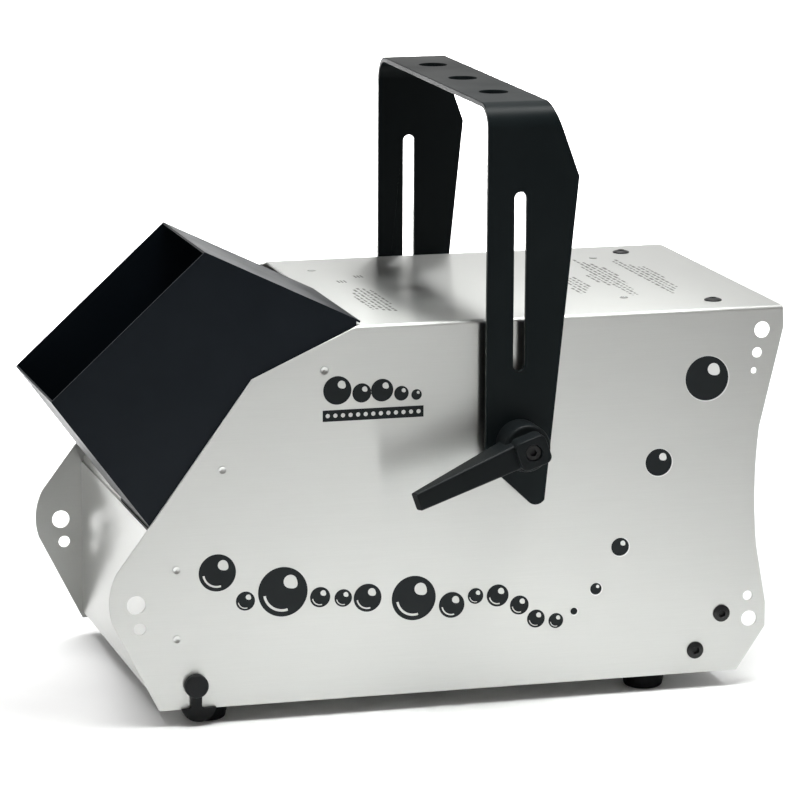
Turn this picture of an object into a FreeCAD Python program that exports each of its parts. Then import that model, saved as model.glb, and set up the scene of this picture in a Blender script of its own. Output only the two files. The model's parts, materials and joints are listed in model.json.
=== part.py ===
"""Hanging bubble machine: a sheet steel casing with a flared outlet hood, a bubble wheel that dips
in a fluid tank, a fan behind it, and a yoke clamped by two hand levers.  Millimetres.

The model is drawn in the casing's frame and moved at the end.  Casing frame: X across the machine
(0 on its middle plane, +X is the side that the hood is on), Y from front to rear (0 at the bottom
front corner of the side panels) and Z up (0 where the feet's height is measured from).
Finished frame: origin at the middle of the footprint, on the surface that the feet stand on.
"""
import FreeCAD, Part
import math
import os

V = FreeCAD.Vector
AXIS_X = V(1, 0, 0)
AXIS_Y = V(0, 1, 0)
AXIS_Z = V(0, 0, 1)

# ---- driving dimensions -------------------------------------------------------------------------
CASING_WIDTH = 218.0
CASING_HEIGHT = 217.0
CASING_LOW_Z = -1.2
CASING_SHEET = 1.5
CASING_BEND = 2.4
THIN_SHEET = 1.2
SIDE = CASING_WIDTH / 2
INNER_SIDE = SIDE - CASING_SHEET
INNER_TOP = CASING_HEIGHT - CASING_SHEET
PANEL_GAP = 0.1

TOP_FRONT_Y = 117.0
TOP_REAR_Y = 373.5
REAR_TIP_Y = 374.0
CUT_LOW = (-5.2, 106.4)
CUT_KNEE = (54.8, 188.9)
CUT_TOP = (TOP_FRONT_Y, CASING_HEIGHT)

FOOT_HEIGHT = 10.8
FOOT_RADIUS = 13.5
FOOT_TIP_RADIUS = 11.0
FOOT_X = 93.0
FOOT_FRONT_Y = 30.7
FOOT_REAR_Y = 296.3

FLOOR_Z = 3.0
FLOOR_TOP_Z = FLOOR_Z + CASING_SHEET
FRONT_WALL_TOP_Z = 98.0
REAR_PANEL_Y = 347.0

HOOD_LIP_LOW = (-60.1, 181.5)
HOOD_LIP_TOP = (28.3, 262.8)
HOOD_ROOT_LOW = (-3.9, 105.9)
HOOD_ROOT_TOP = (118.7, 219.3)
HOOD_WIDTH = 106.4
HOOD_X1 = INNER_SIDE - PANEL_GAP
HOOD_X0 = HOOD_X1 - HOOD_WIDTH
HOOD_OVERLAP = 22.0
COVER_RECESS = 7.0

YOKE_SHEET = 3.0
YOKE_OUTER = 117.4
YOKE_TOP_Z = 341.4
YOKE_BEND = 15.0
YOKE_FRONT_Y = 190.5
PIVOT_Y = 210.0
PIVOT_Z = 146.0
YOKE_HOLE_RADIUS = 8.5
YOKE_HOLE_SPACING = 62.5
SLOT_WIDTH = 7.2
SLOT_LOW_Z = 187.7
SLOT_TOP_Z = 291.2

STUD_RADIUS = 3.95
RUNNING = 0.05
LEVER_LENGTH = 75.0
LEVER_DROP_DEG = 19.5

DRAIN_Y = 21.3
DRAIN_Z = 12.8

TANK_X0 = 3.0
TANK_X1 = 105.5
TANK_Y0 = 4.0
TANK_Y1 = 134.0
TANK_Z0 = 5.5
TANK_Z1 = 62.0
TANK_WALL = 2.5

WHEEL_Y = 62.0
WHEEL_Z = 80.0
WHEEL_RADIUS = 52.0
WAND_RADIUS = 14.5
WANDS = 8
AXLE_RADIUS = 3.0
WHEEL_ROW_X = (36.0, 72.5)

FAN_X = 54.0
FAN_Z = 158.0
FAN_SIZE = 92.0
FAN_DEPTH = 25.0
FAN_HOLE_PITCH = 82.5
FAN_Y0 = 140.0
FAN_BLADES = 7

PARTITION_X0 = HOOD_X0 - THIN_SHEET

BUTTON_HEAD_RADIUS = 5.1
SIDE_SCREWS = ((339.0, 34.0), (323.0, 12.6))
TOP_SCREWS = ((-84.0, 339.0), (84.0, 339.0))
SIDE_RIVETS = ((97.0, 192.0), (37.4, 137.6), (10.6, 80.9), (10.6, 40.4))
TOP_RIVETS = ((-69.5, 316.0), (63.3, 291.0), (-69.5, 136.0))
EAR_HOLES = (
    (-13.0, 62.0, 5.4), (-11.0, 47.8, 3.5),
    (360.8, 203.0, 4.8), (358.0, 189.6, 3.0), (356.2, 179.0, 1.8),
    (355.3, 43.6, 3.0), (356.4, 29.6, 4.8),
)

INLET_X = -64.0
SWITCH_X = -24.0
CONNECTOR_X = (20.0, 56.0)
REMOTE_X = 86.0
SOCKET_Z = 62.0

CENTRE_Y = -(REAR_TIP_Y + HOOD_LIP_LOW[0]) / 2


# ---- shape helpers ------------------------------------------------------------------------------
def box(x0, x1, y0, y1, z0, z1):
    """A block between two opposite corners."""
    return Part.makeBox(x1 - x0, y1 - y0, z1 - z0, V(x0, y0, z0))


def rod_x(radius, x0, x1, y, z):
    """A cylinder along X."""
    return Part.makeCylinder(radius, x1 - x0, V(x0, y, z), AXIS_X)


def rod_y(radius, y0, y1, x, z):
    """A cylinder along Y."""
    return Part.makeCylinder(radius, y1 - y0, V(x, y0, z), AXIS_Y)


def rod_z(radius, z0, z1, x, y):
    """A cylinder along Z."""
    return Part.makeCylinder(radius, z1 - z0, V(x, y, z0), AXIS_Z)


def fuse(shapes):
    """One solid from touching or overlapping shapes."""
    whole = shapes[0]
    for shape in shapes[1:]:
        whole = whole.fuse(shape)
    return whole.removeSplitter()


def cut(shape, tools):
    """The shape with every tool taken away."""
    for tool in tools:
        shape = shape.cut(tool)
    return shape


def outline(steps, to_point):
    """A closed wire.  A step is a point for a straight run, or (middle, end) for an arc."""
    points = [step if isinstance(step[0], float) else step[1] for step in steps]
    edges = []
    for index, step in enumerate(steps):
        start = to_point(*points[index - 1])
        end = to_point(*points[index])
        if isinstance(step[0], float):
            edges.append(Part.makeLine(start, end))
        else:
            edges.append(Part.Arc(start, to_point(*step[0]), end).toShape())
    return Part.Wire(edges)


def slab_x(steps, x0, x1):
    """A flat shape drawn in Y and Z, as thick as x0 to x1."""
    wire = outline(steps, lambda y, z: V(x0, y, z))
    return Part.Face(wire).extrude(V(x1 - x0, 0, 0))


def slab_y(steps, y0, y1):
    """A flat shape drawn in X and Z, as thick as y0 to y1."""
    wire = outline(steps, lambda x, z: V(x, y0, z))
    return Part.Face(wire).extrude(V(0, y1 - y0, 0))


def slab_z(steps, z0, z1):
    """A flat shape drawn in X and Y, as thick as z0 to z1."""
    wire = outline(steps, lambda x, y: V(x, y, z0))
    return Part.Face(wire).extrude(V(0, 0, z1 - z0))


def offset_path(path, distance):
    """The open path moved sideways: to its right for a positive distance, with mitred corners."""
    moved = []
    for index, point in enumerate(path):
        normals = []
        for first, second in ((index - 1, index), (index, index + 1)):
            if first < 0 or second >= len(path):
                continue
            run = (path[second][0] - path[first][0], path[second][1] - path[first][1])
            length = math.hypot(*run)
            normals.append((run[1] / length, -run[0] / length))
        mean = [sum(part) / len(normals) for part in zip(*normals)]
        scale = distance / (mean[0] ** 2 + mean[1] ** 2)
        moved.append((point[0] + mean[0] * scale, point[1] + mean[1] * scale))
    return moved


def sheet_outline(path, thickness):
    """The cross-section of a bent sheet whose outer face follows the path."""
    return list(path) + offset_path(path, thickness)[::-1]


def rounded_rectangle(x0, x1, z0, z1, radius):
    """Outline steps of a rectangle with four round corners."""
    inset = radius * (1 - math.sqrt(0.5))
    return [
        (x0, z0 + radius),
        ((x0 + inset, z0 + inset), (x0 + radius, z0)),
        (x1 - radius, z0),
        ((x1 - inset, z0 + inset), (x1, z0 + radius)),
        (x1, z1 - radius),
        ((x1 - inset, z1 - inset), (x1 - radius, z1)),
        (x0 + radius, z1),
        ((x0 + inset, z1 - inset), (x0, z1 - radius)),
    ]


def turned(shape, degrees, centre, axis):
    """The shape turned about an axis through a point."""
    shape = shape.copy()
    shape.rotate(centre, axis, degrees)
    return shape


def mirrored(shape):
    """The same piece on the other side of the machine."""
    return shape.mirror(V(0, 0, 0), AXIS_X)


def group(solids):
    """Separate identical solids kept together."""
    return Part.makeCompound(solids)


def polygon_rod_x(radius, sides, x0, x1, y, z):
    """A prism along X whose section is a regular polygon."""
    corners = []
    for index in range(sides):
        angle = 2 * math.pi * index / sides
        corners.append((y + radius * math.cos(angle), z + radius * math.sin(angle)))
    return slab_x(corners, x0, x1)


# ---- casing -------------------------------------------------------------------------------------
def side_outline():
    """Side view of the casing: front ears, sloping cut for the outlet and hollow rear edge."""
    return [
        (0.0, CASING_LOW_Z),
        (-27.0, 52.0),
        ((-28.6, 66.0), (-24.5, 80.6)),
        CUT_LOW,
        CUT_KNEE,
        CUT_TOP,
        (TOP_REAR_Y, CASING_HEIGHT),
        (REAR_TIP_Y, 204.0),
        (360.2, 145.0),
        ((358.2, 110.0), (359.9, 74.3)),
        (366.4, 38.6),
        (366.4, 24.6),
        (349.0, CASING_LOW_Z),
    ]


def make_casing_shell():
    """One sheet bent into both side panels and the top."""
    outer = rounded_rectangle(-SIDE, SIDE, -50.0, CASING_HEIGHT, CASING_BEND)
    inner = rounded_rectangle(-INNER_SIDE, INNER_SIDE, -60.0, INNER_TOP, CASING_BEND - CASING_SHEET)
    y0, y1 = -40.0, 400.0
    channel = slab_y(outer, y0, y1).cut(slab_y(inner, y0, y1))
    shell = channel.common(slab_x(side_outline(), -SIDE, SIDE))
    holes = [rod_x(radius, -SIDE - 1, SIDE + 1, y, z) for y, z, radius in EAR_HOLES]
    holes.append(rod_x(STUD_RADIUS + RUNNING, -SIDE - 1, SIDE + 1, PIVOT_Y, PIVOT_Z))
    for y, z in SIDE_SCREWS:
        holes.append(rod_x(3.05, -SIDE - 1, SIDE + 1, y, z))
    for y, z in SIDE_RIVETS:
        holes.append(rod_x(1.65, -SIDE - 1, SIDE + 1, y, z))
    for x, y in TOP_SCREWS:
        holes.append(rod_z(3.05, INNER_TOP - 1, CASING_HEIGHT + 1, x, y))
    for x, y in TOP_RIVETS:
        holes.append(rod_z(1.65, INNER_TOP - 1, CASING_HEIGHT + 1, x, y))
    holes.append(rod_x(6.2, INNER_SIDE - 1, SIDE + 1, DRAIN_Y, DRAIN_Z))
    flat = INNER_SIDE - CASING_BEND
    holes.append(box(-flat, flat, TOP_FRONT_Y - 10, TOP_FRONT_Y, INNER_TOP - 2, CASING_HEIGHT + 1))
    return cut(shell, holes)


def make_chassis_pan():
    """Floor and front wall in one sheet, with upturned edges that the side panels are fixed to."""
    edge = INNER_SIDE - PANEL_GAP
    path = [(REAR_PANEL_Y - 3.0, FLOOR_Z), (0.0, FLOOR_Z), (0.0, FRONT_WALL_TOP_Z)]
    pan = slab_x(sheet_outline(path, CASING_SHEET), -edge, edge)
    flanges = []
    for side in (-1, 1):
        x0, x1 = sorted((side * edge, side * (edge - THIN_SHEET)))
        flanges.append(box(x0, x1, 30.0, REAR_PANEL_Y - 4.0, FLOOR_Z, 21.0))
        flanges.append(box(x0, x1, 0.5, 18.0, 26.0, 78.0))
    holes = []
    for x in (-FOOT_X, FOOT_X):
        for y in (FOOT_FRONT_Y, FOOT_REAR_Y):
            holes.append(rod_z(2.15, FLOOR_Z - 1, FLOOR_TOP_Z + 1, x, y))
    y, z = SIDE_SCREWS[1]
    holes.append(rod_x(3.05, -SIDE, SIDE, y, z))
    for index in range(6):
        y = 190.0 + 14.0 * index
        holes.append(box(-60.0, -20.0, y, y + 4.0, FLOOR_Z - 1, FLOOR_TOP_Z + 1))
    return cut(fuse([pan] + flanges), holes)


def cover_path():
    """Outer face of the recessed cover beside the hood, from the front wall to the casing's top."""
    slope = offset_path([CUT_LOW, CUT_KNEE, CUT_TOP], COVER_RECESS)
    knee, high = slope[1], slope[2]
    rise = (high[1] - knee[1]) / (high[0] - knee[0])
    touch_z = INNER_TOP - PANEL_GAP
    touch_y = high[0] + (touch_z - high[1]) / rise
    low_y = CASING_SHEET + PANEL_GAP
    return [(low_y, 80.0), (low_y, 100.6), knee, (touch_y, touch_z), (touch_y + 14.0, touch_z)]


def make_front_cover(shell):
    """Silver cover that closes the front beside the hood, relieved where the shell's bend is."""
    cover = slab_x(sheet_outline(cover_path(), THIN_SHEET), -INNER_SIDE + 0.3, PARTITION_X0 - 0.1)
    return cover.cut(shell)


def make_rear_panel(shell):
    """Rear wall with flanges under the top and inside the sides, vents and connector cut-outs."""
    edge = INNER_SIDE - PANEL_GAP
    top = INNER_TOP - PANEL_GAP
    front = REAR_PANEL_Y - CASING_SHEET
    plate = box(-edge, edge, front, REAR_PANEL_Y, FLOOR_TOP_Z + 0.2, top)
    pieces = [plate, box(-edge + 8, edge - 8, 328.0, front, top - CASING_SHEET, top)]
    for side in (-1, 1):
        x0, x1 = sorted((side * edge, side * (edge - CASING_SHEET)))
        pieces.append(box(x0, x1, 329.0, front, 25.0, 205.0))
    holes = [rod_x(3.05, -SIDE, SIDE, *SIDE_SCREWS[0])]
    for x, y in TOP_SCREWS:
        holes.append(rod_z(3.05, top - 3, top + 1, x, y))
    for column_x in (-52.0, 52.0):
        for row in range(8):
            z = 120.0 + 9.5 * row
            slot = rounded_rectangle(column_x - 32.0, column_x + 32.0, z, z + 4.4, 2.15)
            holes.append(slab_y(slot, front - 1, REAR_PANEL_Y + 1))
    holes.append(box(INLET_X - 14.2, INLET_X + 14.2, front - 1, REAR_PANEL_Y + 1, 38.3, 85.7))
    holes.append(box(SWITCH_X - 9.7, SWITCH_X + 9.7, front - 1, REAR_PANEL_Y + 1, 47.8, 76.2))
    for x in CONNECTOR_X:
        holes.append(rod_y(11.9, front - 1, REAR_PANEL_Y + 1, x, SOCKET_Z))
    holes.append(rod_y(5.6, front - 1, REAR_PANEL_Y + 1, REMOTE_X, SOCKET_Z))
    for x, z in connector_screw_places():
        holes.append(rod_y(1.6, front - 1, REAR_PANEL_Y + 1, x, z))
    return cut(fuse(pieces), holes + [shell])


def connector_screw_places():
    """Where the small screws of the two control sockets go."""
    places = []
    for x in CONNECTOR_X:
        places.append((x - 9.5, SOCKET_Z + 12.0))
        places.append((x + 9.5, SOCKET_Z - 12.0))
    return places


def make_partition():
    """Upright divider between the wet wheel bay and the dry motor bay."""
    path = cover_path()
    front_y = CASING_SHEET + PANEL_GAP
    rear_y = FAN_Y0 - CASING_SHEET - 0.1
    edge = [(front_y, FLOOR_TOP_Z + PANEL_GAP)] + path[1:4] + [(rear_y, path[3][1])]
    edge.append((rear_y, FLOOR_TOP_Z + PANEL_GAP))
    plate = slab_x(edge, PARTITION_X0, HOOD_X0)
    holes = [rod_x(6.0, PARTITION_X0 - 1, HOOD_X0 + 1, WHEEL_Y, WHEEL_Z)]
    return cut(plate, holes)


def make_fan_bulkhead():
    """Upright wall behind the wheel bay that carries the fan."""
    top = INNER_TOP - PANEL_GAP - THIN_SHEET - 0.1
    path = [(FAN_Y0 - CASING_SHEET, FLOOR_TOP_Z + 0.1), (FAN_Y0 - CASING_SHEET, top), (152.0, top)]
    wall = slab_x(sheet_outline(path, CASING_SHEET), HOOD_X0 + 0.2, INNER_SIDE - THIN_SHEET - 0.3)
    holes = [rod_y(43.5, FAN_Y0 - 3, FAN_Y0 + 1, FAN_X, FAN_Z)]
    for x, z in fan_hole_places():
        holes.append(rod_y(2.2, FAN_Y0 - 3, FAN_Y0 + 1, x, z))
    return cut(wall, holes)


def make_hood(shell):
    """Black flared outlet: top, bottom and two side plates, open in front and towards the wheel."""
    flange_top = INNER_TOP - PANEL_GAP
    web_y = TOP_FRONT_Y - 0.8
    fall = (HOOD_LIP_TOP[1] - HOOD_ROOT_TOP[1]) / (HOOD_ROOT_TOP[0] - HOOD_LIP_TOP[0])
    web_top = HOOD_ROOT_TOP[1] + fall * (HOOD_ROOT_TOP[0] - web_y)
    web_path = [(web_y, web_top - 0.5), (web_y, flange_top), (FAN_Y0 - 2.0, flange_top)]
    wall_y = CASING_SHEET + 0.3
    low_path = [(wall_y, 88.0), (wall_y, 100.4), HOOD_ROOT_LOW, HOOD_LIP_LOW]
    plates = [
        slab_x(sheet_outline(path, THIN_SHEET), HOOD_X0, HOOD_X1)
        for path in ([HOOD_LIP_TOP, HOOD_ROOT_TOP], web_path, low_path)
    ]
    inner = offset_path([CUT_LOW, CUT_KNEE, CUT_TOP], HOOD_OVERLAP)
    side = [
        HOOD_LIP_LOW, HOOD_LIP_TOP, (web_y, web_top), (web_y, flange_top), (132.0, flange_top),
        inner[1], inner[0], (wall_y + THIN_SHEET, 96.0), (wall_y, 100.4), HOOD_ROOT_LOW,
    ]
    plates.append(slab_x(side, HOOD_X0, HOOD_X0 + THIN_SHEET))
    plates.append(slab_x(side, HOOD_X1 - THIN_SHEET, HOOD_X1))
    holes = []
    for y, z in SIDE_RIVETS[:2]:
        holes.append(rod_x(1.65, HOOD_X1 - 3, HOOD_X1 + 1, y, z))
    return cut(fuse(plates), holes + [shell])


# ---- fasteners and feet -------------------------------------------------------------------------
def button_screw():
    """Socket button head screw along Z, its head seated at height 0."""
    height = 1.9
    sphere_radius = 11.0
    dome = Part.makeSphere(sphere_radius, V(0, 0, height - sphere_radius))
    head = Part.makeCylinder(BUTTON_HEAD_RADIUS, height).common(dome)
    shank = Part.makeCylinder(2.95, 9.0, V(0, 0, -9.0))
    corners = []
    for index in range(6):
        angle = math.pi * index / 3
        corners.append((2.3 * math.cos(angle), 2.3 * math.sin(angle)))
    socket = slab_z(corners, -0.6, height + 1)
    mouth = Part.makeCone(1.9, 2.9, 1.0, V(0, 0, height - 0.7))
    return cut(fuse([head, shank]), [socket, mouth])


def rivet():
    """Flush rivet along Z: a low rim round a shallow dish, seated at height 0."""
    rim_height = 0.35
    dish_radius = 5.1
    dish_depth = 0.45
    head = Part.makeCylinder(2.5, rim_height)
    shank = Part.makeCylinder(1.6, CASING_SHEET, V(0, 0, -CASING_SHEET))
    dish = Part.makeSphere(dish_radius, V(0, 0, rim_height - dish_depth + dish_radius))
    return fuse([head, shank]).cut(dish)


def stand_on(shape, point, direction):
    """The shape moved so that its own Z points along the direction from the point."""
    placed = shape.copy()
    placed.Placement = FreeCAD.Placement(point, FreeCAD.Rotation(AXIS_Z, direction))
    return placed


def spread_on_casing(shape, side_places, top_places):
    """Copies of a fastener on both side panels and on the top."""
    copies = []
    for y, z in side_places:
        copies.append(stand_on(shape, V(SIDE, y, z), AXIS_X))
        copies.append(stand_on(shape, V(-SIDE, y, z), V(-1, 0, 0)))
    for x, y in top_places:
        copies.append(stand_on(shape, V(x, y, CASING_HEIGHT), AXIS_Z))
    return group(copies)


def make_foot(x, y):
    """Tapered rubber foot with a recess for its screw."""
    taper = Part.makeCone(FOOT_TIP_RADIUS, FOOT_RADIUS, FOOT_HEIGHT, V(x, y, -FOOT_HEIGHT))
    foot = fuse([taper, rod_z(FOOT_RADIUS, 0.0, FLOOR_Z, x, y)])
    rim = [
        edge for edge in foot.Edges
        if abs(edge.BoundBox.ZMin + FOOT_HEIGHT) < 0.01 and abs(edge.BoundBox.ZMax + FOOT_HEIGHT) < 0.01
    ]
    foot = foot.makeFillet(2.6, rim)
    tools = [
        rod_z(4.6, -FOOT_HEIGHT - 1, -4.0, x, y),
        rod_z(2.2, -FOOT_HEIGHT, FLOOR_Z + 1, x, y),
    ]
    return cut(foot, tools)


def foot_places():
    """Name and place of each foot."""
    return {
        "foot_front_right": (FOOT_X, FOOT_FRONT_Y),
        "foot_front_left": (-FOOT_X, FOOT_FRONT_Y),
        "foot_rear_right": (FOOT_X, FOOT_REAR_Y),
        "foot_rear_left": (-FOOT_X, FOOT_REAR_Y),
    }


def make_foot_screws():
    """One pan head screw up through each foot."""
    screws = []
    for x, y in foot_places().values():
        head = rod_z(4.2, -7.0, -4.0, x, y)
        shank = rod_z(2.1, -4.5, FLOOR_TOP_Z - 0.2, x, y)
        cross = [box(x - 2.4, x + 2.4, y - 0.5, y + 0.5, -8.0, -5.6),
                 box(x - 0.5, x + 0.5, y - 2.4, y + 2.4, -8.0, -5.6)]
        screws.append(cut(fuse([head, shank]), cross))
    return group(screws)


# ---- fluid side ---------------------------------------------------------------------------------
def make_fluid_tank():
    """Open moulded tank under the wheel, with a drain spout through the side panel."""
    outer = slab_z(rounded_rectangle(TANK_X0, TANK_X1, TANK_Y0, TANK_Y1, 7.0), TANK_Z0, TANK_Z1)
    inner = slab_z(
        rounded_rectangle(
            TANK_X0 + TANK_WALL, TANK_X1 - TANK_WALL, TANK_Y0 + TANK_WALL, TANK_Y1 - TANK_WALL, 4.5
        ),
        TANK_Z0 + TANK_WALL, TANK_Z1 + 1,
    )
    spout = rod_x(6.0, TANK_X1 - TANK_WALL, SIDE - 0.2, DRAIN_Y, DRAIN_Z)
    bore = rod_x(4.0, TANK_X1 - TANK_WALL - 1, SIDE + 1, DRAIN_Y, DRAIN_Z)
    return fuse([outer.cut(inner), spout]).cut(bore)


def make_drain_plug():
    """Rubber stopper in the drain spout: a round head and a strap that ends in a half-moon grip."""
    seat = SIDE + 0.3
    head = rod_x(6.9, seat, seat + 4.5, DRAIN_Y, DRAIN_Z)
    head = head.makeFillet(1.6, [edge for edge in head.Edges if edge.BoundBox.XMin > seat + 4.4])
    stem = rod_x(3.9, seat - 9.0, seat + 1.0, DRAIN_Y, DRAIN_Z)
    y = DRAIN_Y
    pull = [
        (y - 3.2, DRAIN_Z), (y - 3.0, 1.6), ((y - 3.6, 0.2), (y - 5.0, -0.4)), (y - 8.6, -0.5),
        ((y + 1.4, -8.3), (y + 11.4, -0.1)), (y + 5.0, -0.3), ((y + 3.6, 0.2), (y + 3.0, 1.6)),
        (y + 3.2, DRAIN_Z),
    ]
    return fuse([head, stem, slab_x(pull, seat, seat + 2.6)])


def make_bearing_block():
    """Block that hooks over the tank's rim and holds the free end of the axle."""
    wall_x = TANK_X1 - TANK_WALL - 0.1
    hanging = box(wall_x - 6.0, wall_x, WHEEL_Y - 9, WHEEL_Y + 9, 48.0, WHEEL_Z + 10)
    bridge = box(wall_x - 6.0, TANK_X1, WHEEL_Y - 9, WHEEL_Y + 9, TANK_Z1 + 0.1, WHEEL_Z + 10)
    bore = rod_x(AXLE_RADIUS + RUNNING, wall_x - 8, TANK_X1 + 1, WHEEL_Y, WHEEL_Z)
    return fuse([hanging, bridge]).cut(bore)


def make_bubble_wheel(row_x, first_deg):
    """A hub with a ring of radial wands; each wand is a hoop that air is blown through."""
    hub = rod_x(9.0, row_x - 14.0, row_x + 14.0, WHEEL_Y, WHEEL_Z)
    wire = 1.6
    reach = WHEEL_RADIUS - WAND_RADIUS
    ring_radius = WAND_RADIUS - wire
    pieces = [hub]
    for index in range(WANDS):
        centre = V(row_x, WHEEL_Y, WHEEL_Z + reach)
        hoop = Part.makeTorus(ring_radius, wire, centre, AXIS_Y)
        spoke = box(
            row_x - 3.0, row_x + 3.0, WHEEL_Y - 1.2, WHEEL_Y + 1.2,
            WHEEL_Z + 7.0, WHEEL_Z + reach - ring_radius,
        )
        wand = fuse([hoop, spoke])
        pieces.append(turned(wand, first_deg + 360.0 * index / WANDS, V(0, WHEEL_Y, WHEEL_Z), AXIS_X))
    wheel = fuse(pieces)
    return wheel.cut(rod_x(AXLE_RADIUS + 0.02, row_x - 20, row_x + 20, WHEEL_Y, WHEEL_Z))


def make_axle_bush():
    """Flanged bush in the divider."""
    body = rod_x(5.95, PARTITION_X0 - 2.5, HOOD_X0 + 1.0, WHEEL_Y, WHEEL_Z)
    flange = rod_x(9.0, HOOD_X0, HOOD_X0 + 1.8, WHEEL_Y, WHEEL_Z)
    bore = rod_x(AXLE_RADIUS + RUNNING, -20.0, 20.0, WHEEL_Y, WHEEL_Z)
    return fuse([body, flange]).cut(bore)


def make_axle_clips():
    """Snap rings that keep the wheels and the axle in place."""
    clips = []
    for x in (WHEEL_ROW_X[0] - 15.3, WHEEL_ROW_X[1] + 14.3):
        ring = rod_x(5.5, x, x + 1.0, WHEEL_Y, WHEEL_Z)
        gap = box(x - 1, x + 2, WHEEL_Y - 1.6, WHEEL_Y + 1.6, WHEEL_Z + 1.0, WHEEL_Z + 7.0)
        bore = rod_x(AXLE_RADIUS + 0.02, x - 1, x + 2, WHEEL_Y, WHEEL_Z)
        clips.append(cut(ring, [gap, bore]))
    return group(clips)


# ---- wheel drive --------------------------------------------------------------------------------
MOTOR_PLATE_X = -31.0
GEARBOX_OFFSET_Z = 10.0
MOTOR_EAR_REACH = 32.0


def make_motor_bracket():
    """Hat-shaped bracket that carries the geared motor off the divider."""
    wall = PARTITION_X0
    path = [
        (wall, 10.0), (wall, 22.0), (MOTOR_PLATE_X, 22.0),
        (MOTOR_PLATE_X, 102.0), (wall, 102.0), (wall, 112.0),
    ]
    bracket = slab_z(sheet_outline(path[::-1], CASING_SHEET), 60.0, 104.0)
    tools = [rod_x(9.0, MOTOR_PLATE_X - 8, MOTOR_PLATE_X + 8, WHEEL_Y, WHEEL_Z)]
    for y, z in motor_screw_places():
        tools.append(rod_x(1.6, MOTOR_PLATE_X - 8, MOTOR_PLATE_X + 8, y, z))
    return cut(bracket, tools)


def motor_screw_places():
    """Where the two ears of the motor are screwed down."""
    z = WHEEL_Z + GEARBOX_OFFSET_Z
    return [(WHEEL_Y - MOTOR_EAR_REACH, z), (WHEEL_Y + MOTOR_EAR_REACH, z)]


def motor_face_x():
    """Mounting face of the motor, on the far side of the bracket's plate."""
    return MOTOR_PLATE_X - CASING_SHEET


def make_wheel_motor():
    """Round geared motor with two mounting ears and an offset output boss."""
    face = motor_face_x()
    z = WHEEL_Z + GEARBOX_OFFSET_Z
    gearbox = rod_x(25.0, face - 16.0, face, WHEEL_Y, z)
    can = rod_x(22.0, face - 34.0, face - 15.0, WHEEL_Y, z)
    can = can.makeFillet(2.0, [edge for edge in can.Edges if edge.BoundBox.XMax < face - 33.0])
    strap = box(face - 1.2, face, WHEEL_Y - MOTOR_EAR_REACH, WHEEL_Y + MOTOR_EAR_REACH, z - 6, z + 6)
    ends = [rod_x(6.0, face - 1.2, face, y, z) for y, z in motor_screw_places()]
    boss = rod_x(6.0, face - 1.0, face + 3.0, WHEEL_Y, WHEEL_Z)
    motor = fuse([gearbox, can, strap, boss] + ends)
    tools = [rod_x(3.5 + RUNNING, face - 6.0, face + 5.0, WHEEL_Y, WHEEL_Z)]
    for y, z in motor_screw_places():
        tools.append(rod_x(1.6, face - 3, face + 2, y, z))
    return cut(motor, tools)


def make_motor_shaft():
    """Output shaft of the geared motor."""
    face = motor_face_x()
    return rod_x(3.5, face - 5.5, -15.5, WHEEL_Y, WHEEL_Z)


def make_shaft_coupling():
    """Sleeve that joins the motor's shaft to the axle, with two grub screw holes."""
    sleeve = rod_x(7.0, -25.0, PARTITION_X0 - 3.5, WHEEL_Y, WHEEL_Z)
    tools = [
        rod_x(3.52, -26.0, -15.0, WHEEL_Y, WHEEL_Z),
        rod_x(AXLE_RADIUS + 0.02, -16.0, 0.0, WHEEL_Y, WHEEL_Z),
        rod_z(1.5, WHEEL_Z + 2.0, WHEEL_Z + 8.0, -20.5, WHEEL_Y),
        rod_z(1.5, WHEEL_Z + 2.0, WHEEL_Z + 8.0, -8.5, WHEEL_Y),
    ]
    return cut(sleeve, tools)


def make_motor_screws():
    """The two screws through the motor's ears."""
    screws = []
    face = motor_face_x()
    for y, z in motor_screw_places():
        head = rod_x(3.0, face - 3.6, face - 1.2, y, z)
        screws.append(fuse([head, rod_x(1.5, face - 2.0, face + 4.5, y, z)]))
    return group(screws)


# ---- fan ----------------------------------------------------------------------------------------
def fan_hole_places():
    """Centres of the fan's four corner holes."""
    half = FAN_HOLE_PITCH / 2
    return [(FAN_X + dx * half, FAN_Z + dz * half) for dx in (-1, 1) for dz in (-1, 1)]


def make_fan_housing():
    """Square fan frame with a round duct and four struts that hold the hub motor."""
    half = FAN_SIZE / 2
    y0, y1 = FAN_Y0, FAN_Y0 + FAN_DEPTH
    square = rounded_rectangle(FAN_X - half, FAN_X + half, FAN_Z - half, FAN_Z + half, 5.0)
    frame = slab_y(square, y0, y1).cut(rod_y(44.0, y0 - 1, y1 + 1, FAN_X, FAN_Z))
    pieces = [frame, rod_y(17.0, y1 - 6.0, y1, FAN_X, FAN_Z)]
    for index in range(4):
        strut = box(FAN_X - 2.0, FAN_X + 2.0, y1 - 4.0, y1 - 0.5, FAN_Z + 15.0, FAN_Z + 45.0)
        pieces.append(turned(strut, 45.0 + 90.0 * index, V(FAN_X, 0, FAN_Z), AXIS_Y))
    housing = fuse(pieces)
    return cut(housing, [rod_y(2.2, y0 - 1, y1 + 1, x, z) for x, z in fan_hole_places()])


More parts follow.
